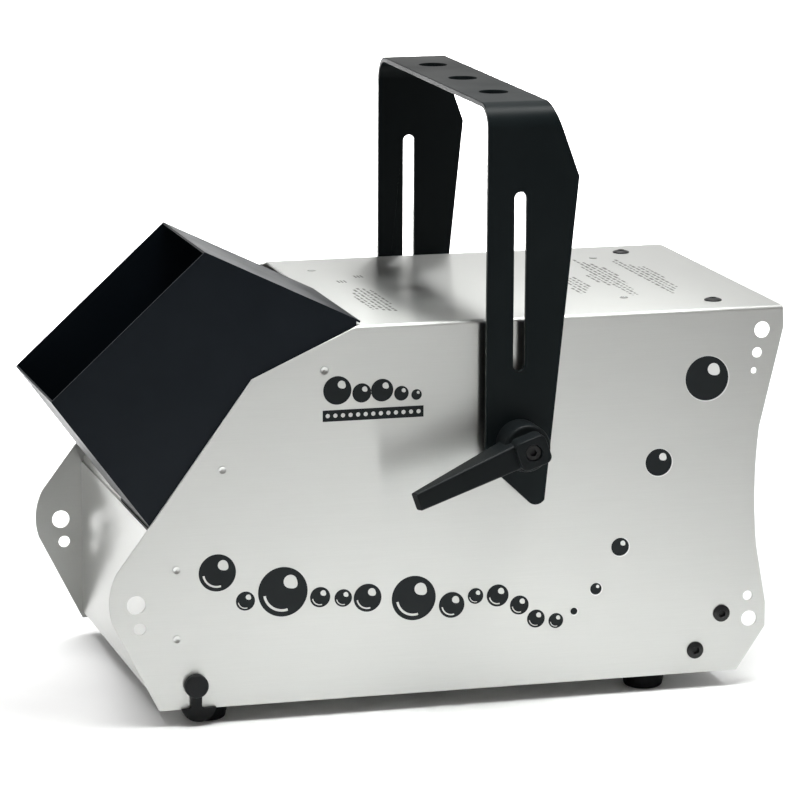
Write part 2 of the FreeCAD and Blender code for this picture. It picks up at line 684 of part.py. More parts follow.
def make_fan_impeller():
    """Hub cup with twisted blades."""
    y0 = FAN_Y0 + 1.5
    y1 = FAN_Y0 + FAN_DEPTH - 7.0
    pieces = [rod_y(18.0, y0, y1, FAN_X, FAN_Z)]
    for index in range(FAN_BLADES):
        root = blade_section(16.5, 38.0, y0 + 1.0, y1 - 1.0)
        tip = blade_section(43.0, 58.0, y0 + 1.0, y1 - 1.0)
        blade = Part.makeLoft([root, tip], True, True)
        pieces.append(turned(blade, 360.0 * index / FAN_BLADES, V(FAN_X, 0, FAN_Z), AXIS_Y))
    return fuse(pieces).common(rod_y(43.2, y0, y1, FAN_X, FAN_Z))


def blade_section(radius, slant_deg, y0, y1):
    """A thin slanted section of a fan blade at one radius."""
    middle = (y0 + y1) / 2
    half = (y1 - y0) / 2
    thickness = 1.1
    slant = math.radians(slant_deg)
    run = half * math.tan(slant)
    side = thickness / math.cos(slant)
    z = FAN_Z + radius
    corners = [
        V(FAN_X - run, middle - half, z), V(FAN_X - run + side, middle - half, z),
        V(FAN_X + run + side, middle + half, z), V(FAN_X + run, middle + half, z),
    ]
    return Part.makePolygon(corners + corners[:1])


def make_fan_guard():
    """Finger guard of four wire rings and four spokes with screw eyes."""
    y = FAN_Y0 + FAN_DEPTH + 1.4
    wire = 1.0
    pieces = []
    for radius in (12.0, 22.0, 32.0, 42.0):
        pieces.append(Part.makeTorus(radius, wire, V(FAN_X, y, FAN_Z), AXIS_Y))
    reach = FAN_HOLE_PITCH / math.sqrt(2)
    for index in range(4):
        start = V(FAN_X, y - 0.4, FAN_Z + 12.0)
        spoke = Part.makeCylinder(wire * 0.9, reach - 14.5, start, AXIS_Z)
        eye = rod_y(4.0, y - 1.2, y + 0.8, FAN_X, FAN_Z + reach)
        eye = eye.cut(rod_y(2.2, y - 2, y + 2, FAN_X, FAN_Z + reach))
        pieces.append(turned(fuse([spoke, eye]), 45.0 + 90.0 * index, V(FAN_X, 0, FAN_Z), AXIS_Y))
    return fuse(pieces)


def make_fan_screws():
    """Four screws through the guard, the fan and the bulkhead."""
    screws = []
    head_y = FAN_Y0 + FAN_DEPTH + 2.3
    for x, z in fan_hole_places():
        head = rod_y(3.6, head_y, head_y + 2.4, x, z)
        screws.append(fuse([head, rod_y(2.1, FAN_Y0 - 5.0, head_y + 1.0, x, z)]))
    return group(screws)


# ---- yoke and clamp levers ----------------------------------------------------------------------
def make_yoke():
    """Steel strip bent into a bail, slotted along both legs and drilled along its top."""
    low = 60.0
    radius = YOKE_BEND
    outer = rounded_rectangle(-YOKE_OUTER, YOKE_OUTER, low, YOKE_TOP_Z, radius)
    inside = YOKE_OUTER - YOKE_SHEET
    inner = rounded_rectangle(-inside, inside, low - 10, YOKE_TOP_Z - YOKE_SHEET, radius - YOKE_SHEET)
    y0, y1 = YOKE_FRONT_Y - 5, 260.0
    channel = slab_y(outer, y0, y1).cut(slab_y(inner, y0, y1))
    side = [
        (YOKE_FRONT_Y, 135.0),
        (216.2, 110.9),
        ((220.9, 108.5), (226.2, 111.2)),
        (245.0, 299.0),
        (231.0, 337.5),
        (229.5, YOKE_TOP_Z),
        (YOKE_FRONT_Y, YOKE_TOP_Z),
    ]
    yoke = channel.common(slab_x(side, -YOKE_OUTER, YOKE_OUTER))
    ends = SLOT_WIDTH / 2
    slot = box(
        -YOKE_OUTER - 1, YOKE_OUTER + 1, PIVOT_Y - ends, PIVOT_Y + ends,
        SLOT_LOW_Z + ends, SLOT_TOP_Z - ends,
    )
    tools = [slot]
    for z in (SLOT_LOW_Z + ends, SLOT_TOP_Z - ends):
        tools.append(rod_x(ends, -YOKE_OUTER - 1, YOKE_OUTER + 1, PIVOT_Y, z))
    tools.append(rod_x(STUD_RADIUS + RUNNING, -YOKE_OUTER - 1, YOKE_OUTER + 1, PIVOT_Y, PIVOT_Z))
    for step in (-1, 0, 1):
        x = step * YOKE_HOLE_SPACING
        tools.append(rod_z(YOKE_HOLE_RADIUS, YOKE_TOP_Z - 10, YOKE_TOP_Z + 1, x, PIVOT_Y))
    return cut(yoke, tools)


def make_pivot_spacer():
    """Friction disc between the yoke and the side panel, on the hood's side."""
    inside = YOKE_OUTER - YOKE_SHEET
    disc = rod_x(15.0, SIDE + 0.1, inside - 0.2, PIVOT_Y, PIVOT_Z)
    return disc.cut(rod_x(STUD_RADIUS + 0.08, SIDE - 1, YOKE_OUTER, PIVOT_Y, PIVOT_Z))


def make_pivot_nut():
    """Weld nut inside the side panel."""
    nut = polygon_rod_x(8.2, 6, INNER_SIDE - 8.0, INNER_SIDE - 0.1, PIVOT_Y, PIVOT_Z)
    return nut.cut(rod_x(STUD_RADIUS + RUNNING, INNER_SIDE - 10, INNER_SIDE + 1, PIVOT_Y, PIVOT_Z))


LEVER_SEAT = YOKE_OUTER + 0.3
LEVER_SHOULDER = LEVER_SEAT + 18.3
LEVER_TOP = LEVER_SEAT + 30.0
LEVER_CAP = (18.8, 17.4)
INSERT_RADIUS = 6.5


def make_lever():
    """Clamping lever on the hood's side: round hub, square cap and an arm that rises outwards."""
    hub = rod_x(13.8, LEVER_SEAT, LEVER_SHOULDER, PIVOT_Y, PIVOT_Z)
    hub = hub.makeFillet(1.8, [edge for edge in hub.Edges if edge.BoundBox.XMin > LEVER_SHOULDER - 0.1])
    half_length, half_width = LEVER_CAP[0] / 2, LEVER_CAP[1] / 2
    square = rounded_rectangle(
        PIVOT_Y - half_length, PIVOT_Y + half_length, PIVOT_Z - half_width, PIVOT_Z + half_width, 4.0
    )
    cap = slab_x(square, LEVER_SHOULDER - 3.0, LEVER_TOP)
    cap = cap.makeFillet(1.0, [edge for edge in cap.Edges if edge.BoundBox.XMin > LEVER_TOP - 0.1])
    handle = turned(fuse([cap, make_lever_arm()]), LEVER_DROP_DEG, V(0, PIVOT_Y, PIVOT_Z), AXIS_X)
    lever = fuse([hub, handle])
    tools = [
        rod_x(INSERT_RADIUS + 0.05, LEVER_SEAT - 1, LEVER_SEAT + 18.0, PIVOT_Y, PIVOT_Z),
        rod_x(2.7, LEVER_SEAT, LEVER_TOP + 1, PIVOT_Y, PIVOT_Z),
        rod_x(4.9, LEVER_TOP - 6.0, LEVER_TOP + 1, PIVOT_Y, PIVOT_Z),
    ]
    return cut(lever, tools)


def make_lever_arm():
    """Arm that narrows in both directions to a blunt slanted tip, pointing to the front."""
    root = lever_section(4.0, LEVER_SEAT + 3.7, LEVER_TOP - 4.9, 7.4)
    tip = lever_section(LEVER_LENGTH, LEVER_SEAT + 26.5, LEVER_TOP + 2.2, 5.3)
    arm = Part.makeLoft([root, tip], True, True)
    end_y = PIVOT_Y - LEVER_LENGTH
    corner = [
        V(LEVER_TOP - 5.0, end_y - 1.0, 0), V(LEVER_TOP - 5.0, end_y + 0.4, 0),
        V(LEVER_TOP + 3.0, end_y + 3.2, 0), V(LEVER_TOP + 3.0, end_y - 1.0, 0),
    ]
    return arm.cut(Part.Face(Part.makePolygon(corner + corner[:1])).extrude(V(0, 0, CASING_HEIGHT)))


def lever_section(reach, x0, x1, half):
    """Rectangular section with bevelled corners at one distance from the pivot."""
    bevel = 0.9
    y = PIVOT_Y - reach
    flat = [
        (x0, -half + bevel), (x0 + bevel, -half), (x1 - bevel, -half), (x1, -half + bevel),
        (x1, half - bevel), (x1 - bevel, half), (x0 + bevel, half), (x0, half - bevel),
    ]
    corners = [V(x, y, PIVOT_Z + z) for x, z in flat]
    return Part.makePolygon(corners + corners[:1])


def make_lever_insert():
    """Steel insert in the lever's hub, in one with the threaded stud that clamps the yoke."""
    body = rod_x(INSERT_RADIUS, LEVER_SEAT, LEVER_SEAT + 17.5, PIVOT_Y, PIVOT_Z)
    stud = rod_x(STUD_RADIUS, INNER_SIDE - 9.5, LEVER_SEAT + 1.0, PIVOT_Y, PIVOT_Z)
    socket = rod_x(2.5, LEVER_SEAT + 8.0, LEVER_SEAT + 19.0, PIVOT_Y, PIVOT_Z)
    return fuse([body, stud]).cut(socket)


def make_lever_screw():
    """Socket cap screw that holds the lever on its insert."""
    head = rod_x(4.3, LEVER_TOP - 5.9, LEVER_TOP - 1.5, PIVOT_Y, PIVOT_Z)
    shank = rod_x(2.45, LEVER_SEAT + 9.0, LEVER_TOP - 5.0, PIVOT_Y, PIVOT_Z)
    socket = polygon_rod_x(2.3, 6, LEVER_TOP - 4.0, LEVER_TOP, PIVOT_Y, PIVOT_Z)
    return fuse([head, shank]).cut(socket)


# ---- rear connectors ----------------------------------------------------------------------------
def make_power_inlet():
    """Mains inlet: a flanged moulding with three pins and a pocket for the fuse drawer."""
    y = REAR_PANEL_Y
    x = INLET_X
    flange = slab_y(rounded_rectangle(x - 17.0, x + 17.0, 34.5, 89.5, 3.0), y + 0.05, y + 3.0)
    body = box(x - 13.9, x + 13.9, y - 22.0, y + 0.5, 38.6, 85.4)
    recess_outline = [
        (x - 11.0, 58.0), (x + 11.0, 58.0), (x + 11.0, 69.0),
        (x + 7.0, 74.5), (x - 7.0, 74.5), (x - 11.0, 69.0),
    ]
    recess = slab_y(recess_outline, y - 15.0, y + 4.0)
    pocket = box(x - 10.0, x + 10.0, y - 17.0, y + 4.0, 42.0, 52.0)
    inlet = cut(fuse([flange, body]), [recess, pocket])
    pins = []
    for px, pz in ((x - 6.8, 64.0), (x + 6.8, 64.0), (x, 68.0)):
        pins.append(box(px - 1.0, px + 1.0, y - 16.0, y - 1.0, pz - 2.0, pz + 2.0))
    tabs = [box(x - 8.0 + 6.0 * i, x - 4.0 + 6.0 * i, y - 29.0, y - 21.5, 62.0, 62.8) for i in range(3)]
    return fuse([inlet] + pins + tabs)


def make_fuse_drawer():
    """Small drawer under the inlet pins, with a finger edge."""
    y = REAR_PANEL_Y
    x = INLET_X
    front = box(x - 9.7, x + 9.7, y + 1.2, y + 4.0, 42.3, 51.7)
    tray = box(x - 9.0, x + 9.0, y - 16.0, y + 1.5, 43.0, 51.0)
    hollow = box(x - 7.5, x + 7.5, y - 14.5, y - 1.5, 44.5, 52.0)
    grip = box(x - 5.0, x + 5.0, y + 4.0 - 1.0, y + 5.0, 49.8, 52.0)
    return cut(fuse([front, tray]), [hollow, grip])


SWITCH_TILT_DEG = 9.0


def make_switch_housing():
    """Bezel and box of the rocker switch."""
    y = REAR_PANEL_Y
    x = SWITCH_X
    flange = slab_y(rounded_rectangle(x - 11.5, x + 11.5, 46.0, 78.0, 2.0), y + 0.05, y + 2.2)
    body = box(x - 9.4, x + 9.4, y - 20.0, y + 1.0, 48.2, 75.8)
    pocket = box(x - 7.2, x + 7.2, y - 14.0, y + 3.0, 50.2, 73.8)
    pins = [box(x - 2.4, x + 2.4, y - 27.0, y - 19.5, z, z + 0.8) for z in (54.0, 66.0)]
    return fuse([cut(fuse([flange, body]), [pocket])] + pins)


def make_switch_rocker():
    """Rocker key, stored tipped to its off side."""
    y = REAR_PANEL_Y
    x = SWITCH_X
    key = [
        (y - 3.0, 51.4), (y - 3.0, 72.6), (y + 4.2, 72.2), ((y + 2.2, 62.0), (y + 4.2, 51.8)),
    ]
    rocker = fuse([
        slab_x(key, x - 6.8, x + 6.8),
        rod_x(3.0, x - 6.8, x + 6.8, y - 4.0, 62.0),
    ])
    return turned(rocker, SWITCH_TILT_DEG, V(0, y - 4.0, 62.0), AXIS_X)


def control_flange(x):
    """Square flange and barrel that both control sockets share."""
    y = REAR_PANEL_Y
    flange = slab_y(rounded_rectangle(x - 13.0, x + 13.0, 46.5, 77.5, 3.0), y + 0.05, y + 2.0)
    barrel = rod_y(11.6, y - 20.0, y + 1.0, x, SOCKET_Z)
    holes = []
    for sx, sz in connector_screw_places():
        if abs(sx - x) < 13.0:
            holes.append(rod_y(1.6, y - 1, y + 3, sx, sz))
    return cut(fuse([flange, barrel]), holes)


def pin_places(x):
    """Three contacts on a circle."""
    places = []
    for degrees in (30.0, 150.0, 270.0):
        angle = math.radians(degrees)
        places.append((x + 4.2 * math.cos(angle), SOCKET_Z + 4.2 * math.sin(angle)))
    return places


def make_control_input():
    """Control input: three pins in a round recess."""
    y = REAR_PANEL_Y
    x = CONNECTOR_X[0]
    shell = control_flange(x).cut(rod_y(9.4, y - 14.0, y + 3.0, x, SOCKET_Z))
    pins = [rod_y(1.2, y - 15.0, y - 3.0, px, pz) for px, pz in pin_places(x)]
    return fuse([shell] + pins)


def make_control_output():
    """Control output: a round insert with three holes inside a ring gap."""
    y = REAR_PANEL_Y
    x = CONNECTOR_X[1]
    shell = control_flange(x).cut(rod_y(9.4, y - 14.0, y + 3.0, x, SOCKET_Z))
    insert = rod_y(7.6, y - 15.0, y + 0.5, x, SOCKET_Z)
    insert = cut(insert, [rod_y(1.4, y - 12.0, y + 2.0, px, pz) for px, pz in pin_places(x)])
    return fuse([shell, insert])


def make_remote_socket():
    """Round jack for a wired remote, with its nut."""
    y = REAR_PANEL_Y
    nut = []
    for index in range(6):
        angle = math.pi * index / 3
        nut.append((REMOTE_X + 8.0 * math.cos(angle), SOCKET_Z + 8.0 * math.sin(angle)))
    pieces = [
        slab_y(nut, y + 0.05, y + 2.6),
        rod_y(5.4, y - 18.0, y + 4.2, REMOTE_X, SOCKET_Z),
        box(REMOTE_X - 7.0, REMOTE_X + 7.0, y - 26.0, y - 2.0, SOCKET_Z - 7.0, SOCKET_Z + 7.0),
    ]
    return fuse(pieces).cut(rod_y(3.2, y - 22.0, y + 6.0, REMOTE_X, SOCKET_Z))


def make_connector_screws():
    """Four small screws of the control sockets."""
    screws = []
    y = REAR_PANEL_Y
    for x, z in connector_screw_places():
        head = rod_y(2.6, y + 2.05, y + 3.5, x, z)
        screws.append(fuse([head, rod_y(1.5, y - 4.0, y + 2.5, x, z)]))
    return group(screws)


# ---- electronics --------------------------------------------------------------------------------
BOARD = (-92.0, -12.0, 205.0, 305.0)
BOARD_Z = 15.0


def board_corners():
    """Centres of the board's four fixing holes."""
    x0, x1, y0, y1 = BOARD
    return [(x, y) for x in (x0 + 5, x1 - 5) for y in (y0 + 5, y1 - 5)]


def make_control_board():
    """Printed circuit board."""
    x0, x1, y0, y1 = BOARD
    board = box(x0, x1, y0, y1, BOARD_Z, BOARD_Z + 1.6)
    return cut(board, [rod_z(1.7, BOARD_Z - 1, BOARD_Z + 3, x, y) for x, y in board_corners()])


def make_board_standoffs():
    """Four pillars under the board, each with its screw."""
    pillars = []
    for x, y in board_corners():
        pillar = rod_z(3.0, FLOOR_TOP_Z, BOARD_Z, x, y)
        pillars.append(fuse([
            pillar,
            rod_z(1.6, BOARD_Z - 1, BOARD_Z + 1.8, x, y),
            rod_z(3.0, BOARD_Z + 1.7, BOARD_Z + 3.6, x, y),
        ]))
    return group(pillars)


def make_board_parts():
    """Relays, a capacitor, a heat sink and plug headers on the board."""
    z = BOARD_Z + 1.6
    blocks = [
        box(-86.0, -71.0, 222.0, 241.0, z, z + 15.0),
        box(-68.0, -53.0, 222.0, 241.0, z, z + 15.0),
        rod_z(8.0, z, z + 22.0, -30.0, 232.0),
        box(-84.0, -44.0, 288.0, 296.0, z, z + 11.0),
        box(-48.0, -24.0, 256.0, 280.0, z, z + 3.0),
    ]
    sink = box(-86.0, -60.0, 254.0, 270.0, z, z + 18.0)
    for index in range(4):
        x = -84.0 + 6.0 * index
        sink = sink.cut(box(x, x + 3.5, 253.0, 271.0, z + 4.0, z + 20.0))
    return group(blocks + [sink])


def make_power_supply():
    """Enclosed supply: a base tray with a vented lid."""
    tray = box(18.0, 92.0, 205.0, 318.0, FLOOR_TOP_Z, 42.0)
    tray = tray.cut(box(19.2, 90.8, 206.2, 316.8, FLOOR_TOP_Z + 1.2, 40.8))
    slots = []
    for index in range(7):
        y = 220.0 + 13.0 * index
        slots.append(box(30.0, 80.0, y, y + 4.0, 40.0, 43.0))
    return cut(tray, slots)


# ---- all nodes ----------------------------------------------------------------------------------
def make_nodes():
    """Every piece by name, in the casing's frame."""
    shell = make_casing_shell()
    nodes = {
        "casing_shell": shell,
        "chassis_pan": make_chassis_pan(),
        "front_cover": make_front_cover(shell),
        "rear_panel": make_rear_panel(shell),
        "outlet_hood": make_hood(shell),
        "partition_plate": make_partition(),
        "fan_bulkhead": make_fan_bulkhead(),
        "fluid_tank": make_fluid_tank(),
        "drain_plug": make_drain_plug(),
        "axle_bearing_block": make_bearing_block(),
        "axle_bush": make_axle_bush(),
        "wheel_axle": rod_x(AXLE_RADIUS, -14.5, TANK_X1 - TANK_WALL - 0.3, WHEEL_Y, WHEEL_Z),
        "bubble_wheel_inner": make_bubble_wheel(WHEEL_ROW_X[0], 0.0),
        "bubble_wheel_outer": make_bubble_wheel(WHEEL_ROW_X[1], 180.0 / WANDS),
        "axle_clips": make_axle_clips(),
        "motor_bracket": make_motor_bracket(),
        "wheel_motor": make_wheel_motor(),
        "motor_shaft": make_motor_shaft(),
        "shaft_coupling": make_shaft_coupling(),
        "motor_screws": make_motor_screws(),
        "fan_housing": make_fan_housing(),
        "fan_impeller": make_fan_impeller(),
        "fan_guard": make_fan_guard(),
        "fan_screws": make_fan_screws(),
        "yoke": make_yoke(),
        "foot_screws": make_foot_screws(),
        "casing_screws": spread_on_casing(button_screw(), SIDE_SCREWS, TOP_SCREWS),
        "casing_rivets": spread_on_casing(rivet(), SIDE_RIVETS, TOP_RIVETS),
        "power_inlet": make_power_inlet(),
        "fuse_drawer": make_fuse_drawer(),
        "switch_housing": make_switch_housing(),
        "switch_rocker": make_switch_rocker(),
        "control_input": make_control_input(),
        "control_output": make_control_output(),
        "remote_socket": make_remote_socket(),
        "connector_screws": make_connector_screws(),
        "control_board": make_control_board(),
        "board_parts": make_board_parts(),
        "board_standoffs": make_board_standoffs(),
        "power_supply": make_power_supply(),
    }
    for name, (x, y) in foot_places().items():
        nodes[name] = make_foot(x, y)
    paired = {
        "pivot_spacer": make_pivot_spacer(),
        "pivot_nut": make_pivot_nut(),
        "lever": make_lever(),
        "lever_insert": make_lever_insert(),
        "lever_screw": make_lever_screw(),
    }
    for name, shape in paired.items():
        nodes[name + "_right"] = shape
        nodes[name + "_left"] = mirrored(shape)
    return nodes


def main():
    os.makedirs("parts", exist_ok=True)
    for name, shape in make_nodes().items():
        placed = shape.copy()
        placed.translate(V(0, CENTRE_Y, FOOT_HEIGHT))
        bad = [solid for solid in placed.Solids if not solid.isValid()]
        print(name, "solids", len(placed.Solids), "volume", round(placed.Volume), "bad", len(bad))
        placed.exportStep("parts/" + name + ".step")


main()
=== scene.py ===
"""Looks of the bubble machine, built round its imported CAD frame.

Metres, in the frame's axes: +X is the side that the hood is on, -Y the front, +Z up, and the feet
stand on Z = 0.  Printed shapes are given in millimetres from the side panel's lower front corner.
"""
import json
import math
import random

import bmesh
import bpy
from mathutils import Matrix, Quaternion, Vector


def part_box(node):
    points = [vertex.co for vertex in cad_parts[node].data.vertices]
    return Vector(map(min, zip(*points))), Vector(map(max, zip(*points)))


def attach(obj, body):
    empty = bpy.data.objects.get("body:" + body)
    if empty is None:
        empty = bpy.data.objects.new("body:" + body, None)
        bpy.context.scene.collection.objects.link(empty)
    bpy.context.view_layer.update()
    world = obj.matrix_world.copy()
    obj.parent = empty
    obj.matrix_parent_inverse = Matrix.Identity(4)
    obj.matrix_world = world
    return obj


MM = 0.001
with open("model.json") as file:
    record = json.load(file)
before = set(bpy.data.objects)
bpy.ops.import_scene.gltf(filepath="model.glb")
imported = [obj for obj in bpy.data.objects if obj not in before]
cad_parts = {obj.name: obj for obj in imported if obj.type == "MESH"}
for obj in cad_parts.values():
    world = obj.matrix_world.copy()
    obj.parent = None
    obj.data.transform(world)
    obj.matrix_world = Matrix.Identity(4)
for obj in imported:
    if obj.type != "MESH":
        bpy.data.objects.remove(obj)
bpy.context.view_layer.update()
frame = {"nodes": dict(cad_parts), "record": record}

# The side panel's outer face, the front wall, and the height that the prints are measured from.
SHELL_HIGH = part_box("casing_shell")[1]
FRONT_WALL_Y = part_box("chassis_pan")[0].y
PANEL_ZERO = SHELL_HIGH.z - 217.0 * MM


def on_side_panel(x, z):
    """A point of the +X side panel's face, in millimetres from its lower front corner."""
    return Vector((SHELL_HIGH.x, FRONT_WALL_Y + x * MM, PANEL_ZERO + z * MM))


# ---- camera, light and floor --------------------------------------------------------------------
def make_camera():
    """A long lens at the front right, a little above the machine."""
    azimuth = math.radians(74.16)
    elevation = math.radians(11.86)
    roll = math.radians(0.27)
    distance = 2.4234
    target = on_side_panel(141.6, 172.7)
    back = Vector((
        math.sin(azimuth) * math.cos(elevation),
        -math.cos(azimuth) * math.cos(elevation),
        math.sin(elevation),
    ))
    data = bpy.data.cameras.new("camera")
    data.lens = 191.25
    data.sensor_width = 36.0
    camera = bpy.data.objects.new("camera", data)
    bpy.context.scene.collection.objects.link(camera)
    camera.rotation_mode = "QUATERNION"
    camera.location = target + back * distance
    camera.rotation_quaternion = (-back).to_track_quat("-Z", "Y") @ Quaternion((0, 0, 1), roll)
    bpy.context.scene.camera = camera


def make_area_light(name, place, aim, size, power, colour=(1.0, 1.0, 1.0), spread=180.0):
    """A square softbox that faces a point, with its light kept within a cone."""
    data = bpy.data.lights.new(name, "AREA")
    data.shape = "SQUARE"
    data.size = size
    data.energy = power
    data.color = colour
    data.spread = math.radians(spread)
    light = bpy.data.objects.new(name, data)
    bpy.context.scene.collection.objects.link(light)
    light.location = place
    light.rotation_mode = "QUATERNION"
    light.rotation_quaternion = (Vector(aim) - Vector(place)).to_track_quat("-Z", "Y")


def make_sky(nodes, links, height, low, middle, high):
    """Colours from the horizon up to the zenith."""
    ramp = nodes.new("ShaderNodeValToRGB")
    stops = ramp.color_ramp.elements
    stops[0].position = 0.0
    stops[0].color = (*low, 1.0)
    stops[1].position = 1.0
    stops[1].color = (*high, 1.0)
    stops.new(0.45).color = (*middle, 1.0)
    links.new(height, ramp.inputs[0])
    return ramp.outputs[0]


def make_world():
    """Pale studio: white behind the machine, a dimmer and warmer room on the +X side."""
    world = bpy.data.worlds.new("studio")
    bpy.context.scene.world = world
    world.use_nodes = True
    nodes = world.node_tree.nodes
    links = world.node_tree.links
    direction = nodes.new("ShaderNodeTexCoord")
    split = nodes.new("ShaderNodeSeparateXYZ")
    links.new(direction.outputs["Generated"], split.inputs[0])
    height = split.outputs["Z"]
    behind = make_sky(nodes, links, height, (0.59, 0.59, 0.58), (0.64, 0.64, 0.63), (0.66, 0.66, 0.66))
    room = make_sky(nodes, links, height, (0.24, 0.225, 0.21), (0.30, 0.29, 0.28), (0.38, 0.38, 0.39))
    side = nodes.new("ShaderNodeMapRange")
    side.interpolation_type = "SMOOTHSTEP"
    side.inputs["From Min"].default_value = -0.35
    side.inputs["From Max"].default_value = 0.55
    blend = nodes.new("ShaderNodeMix")
    blend.data_type = "RGBA"
    links.new(split.outputs["X"], side.inputs["Value"])
    links.new(side.outputs["Result"], blend.inputs["Factor"])
    links.new(behind, blend.inputs[6])
    links.new(room, blend.inputs[7])
    links.new(blend.outputs[2], nodes["Background"].inputs["Color"])
    nodes["Background"].inputs["Strength"].default_value = 1.0


def make_floor():
    """A wide pale floor with a faint mottle."""
    bpy.ops.mesh.primitive_plane_add(size=60.0)
    floor = bpy.context.object
    floor.name = "floor"
    floor.data.materials.append(
        make_finish("floor_paint", (0.90, 0.90, 0.90), (0.93, 0.93, 0.93), 0.6, scale=3.0, bump=0.0)
    )


# ---- materials ----------------------------------------------------------------------------------
GLOSS_SPREAD = 0.06
BRUSHED_TONES = ((0.565, 0.570, 0.555), (0.585, 0.590, 0.575))


def new_material(name):
    """An empty node material and its shader."""
    material = bpy.data.materials.new(name)
    material.use_nodes = True
    return material, material.node_tree.nodes, material.node_tree.links


def add_noise(material, scale, detail, stretch):
    """Noise in the object's own space, stretched along its axes."""
    nodes = material.node_tree.nodes
    links = material.node_tree.links
    place = nodes.new("ShaderNodeTexCoord")
    mapping = nodes.new("ShaderNodeMapping")
    mapping.inputs["Scale"].default_value = stretch
    noise = nodes.new("ShaderNodeTexNoise")
    noise.inputs["Scale"].default_value = scale
    noise.inputs["Detail"].default_value = detail
    links.new(place.outputs["Object"], mapping.inputs["Vector"])
    links.new(mapping.outputs["Vector"], noise.inputs["Vector"])
    return noise


def link_colour(material, noise, first, second):
    """Base colour that wanders between two tones."""
    nodes = material.node_tree.nodes
    links = material.node_tree.links
    ramp = nodes.new("ShaderNodeValToRGB")
    ramp.color_ramp.elements[0].position = 0.32
    ramp.color_ramp.elements[1].position = 0.68
    ramp.color_ramp.elements[0].color = (*first, 1.0)
    ramp.color_ramp.elements[1].color = (*second, 1.0)
    links.new(noise.outputs["Fac"], ramp.inputs["Fac"])
    links.new(ramp.outputs["Color"], nodes["Principled BSDF"].inputs["Base Color"])


def link_roughness(material, noise, low, high):
    """Roughness that wanders between two values."""
    nodes = material.node_tree.nodes
    links = material.node_tree.links
    spread = nodes.new("ShaderNodeMapRange")
    spread.inputs["From Min"].default_value = 0.3
    spread.inputs["From Max"].default_value = 0.7
    spread.inputs["To Min"].default_value = low
    spread.inputs["To Max"].default_value = high
    links.new(noise.outputs["Fac"], spread.inputs["Value"])
    links.new(spread.outputs["Result"], nodes["Principled BSDF"].inputs["Roughness"])


def link_bump(material, noise, strength, distance):
    """Fine relief."""
    nodes = material.node_tree.nodes
    links = material.node_tree.links
    bump = nodes.new("ShaderNodeBump")
    bump.inputs["Strength"].default_value = strength
    bump.inputs["Distance"].default_value = distance
    links.new(noise.outputs["Fac"], bump.inputs["Height"])
    links.new(bump.outputs["Normal"], nodes["Principled BSDF"].inputs["Normal"])


def make_finish(name, first, second, roughness, scale=900.0, bump=0.15, depth=0.00006,
                metallic=0.0, mottle=14.0, sockets=None):
    """A finish with slow colour and gloss variation and a fine relief."""
    material, nodes, _ = new_material(name)
    shader = nodes["Principled BSDF"]
    shader.inputs["Metallic"].default_value = metallic
    slow = add_noise(material, mottle, 3.0, (1, 1, 1))
    link_colour(material, slow, first, second)
    link_roughness(material, slow, roughness - GLOSS_SPREAD, roughness + GLOSS_SPREAD)
    if bump > 0:
        link_bump(material, add_noise(material, scale, 4.0, (1, 1, 1)), bump, depth)
    for socket, value in (sockets or {}).items():
        shader.inputs[socket].default_value = value
    return material


def make_brushed(name, first, second, grain, gloss):
    """Brushed sheet: its gloss is sharp along the grain and wide across it."""
    material, nodes, links = new_material(name)
    shader = nodes["Principled BSDF"]
    shader.inputs["Metallic"].default_value = 1.0
    shader.inputs["Anisotropic"].default_value = 1.0
    stretch = [1.0 if axis == grain else 90.0 for axis in "XYZ"]
    streaks = add_noise(material, 40.0, 4.0, stretch)
    link_colour(material, streaks, first, second)
    link_roughness(material, streaks, gloss - 0.01, gloss + 0.01)
    link_bump(material, streaks, 0.010, 0.00002)
    across = nodes.new("ShaderNodeCombineXYZ")
    for axis in "XYZ":
        across.inputs[axis].default_value = 0.0 if axis == grain else 1.0
    links.new(across.outputs[0], shader.inputs["Tangent"])
    return material


def make_cells(name, first, second, roughness, scale, metallic):
    """Crystalline zinc: flat patches of slightly different tone."""
    material, nodes, links = new_material(name)
    shader = nodes["Principled BSDF"]
    shader.inputs["Metallic"].default_value = metallic
    place = nodes.new("ShaderNodeTexCoord")
    cells = nodes.new("ShaderNodeTexVoronoi")
    cells.inputs["Scale"].default_value = scale
    split = nodes.new("ShaderNodeSeparateColor")
    ramp = nodes.new("ShaderNodeValToRGB")
    ramp.color_ramp.elements[0].color = (*first, 1.0)
    ramp.color_ramp.elements[1].color = (*second, 1.0)
    links.new(place.outputs["Object"], cells.inputs["Vector"])
    links.new(cells.outputs["Color"], split.inputs[0])
    links.new(split.outputs[0], ramp.inputs["Fac"])
    links.new(ramp.outputs["Color"], shader.inputs["Base Color"])
    fine = add_noise(material, 60.0, 3.0, (1, 1, 1))
    link_roughness(material, fine, roughness - 0.05, roughness + 0.07)
    return material


def paint_shade_below(material, low, high, share):
    """Scale the base colour down towards a low height: painted shade on the lower part."""
    nodes = material.node_tree.nodes
    links = material.node_tree.links
    colour = nodes["Principled BSDF"].inputs["Base Color"]
    source = colour.links[0].from_socket
    place = nodes.new("ShaderNodeTexCoord")
    split = nodes.new("ShaderNodeSeparateXYZ")
    fade = nodes.new("ShaderNodeMapRange")
    fade.inputs["From Min"].default_value = low
    fade.inputs["From Max"].default_value = high
    fade.inputs["To Min"].default_value = share
    scale = nodes.new("ShaderNodeVectorMath")
    scale.operation = "SCALE"
    links.new(place.outputs["Object"], split.inputs[0])
    links.new(split.outputs["Z"], fade.inputs["Value"])
    links.new(source, scale.inputs[0])
    links.new(fade.outputs["Result"], scale.inputs["Scale"])
    links.new(scale.outputs[0], colour)
    return material


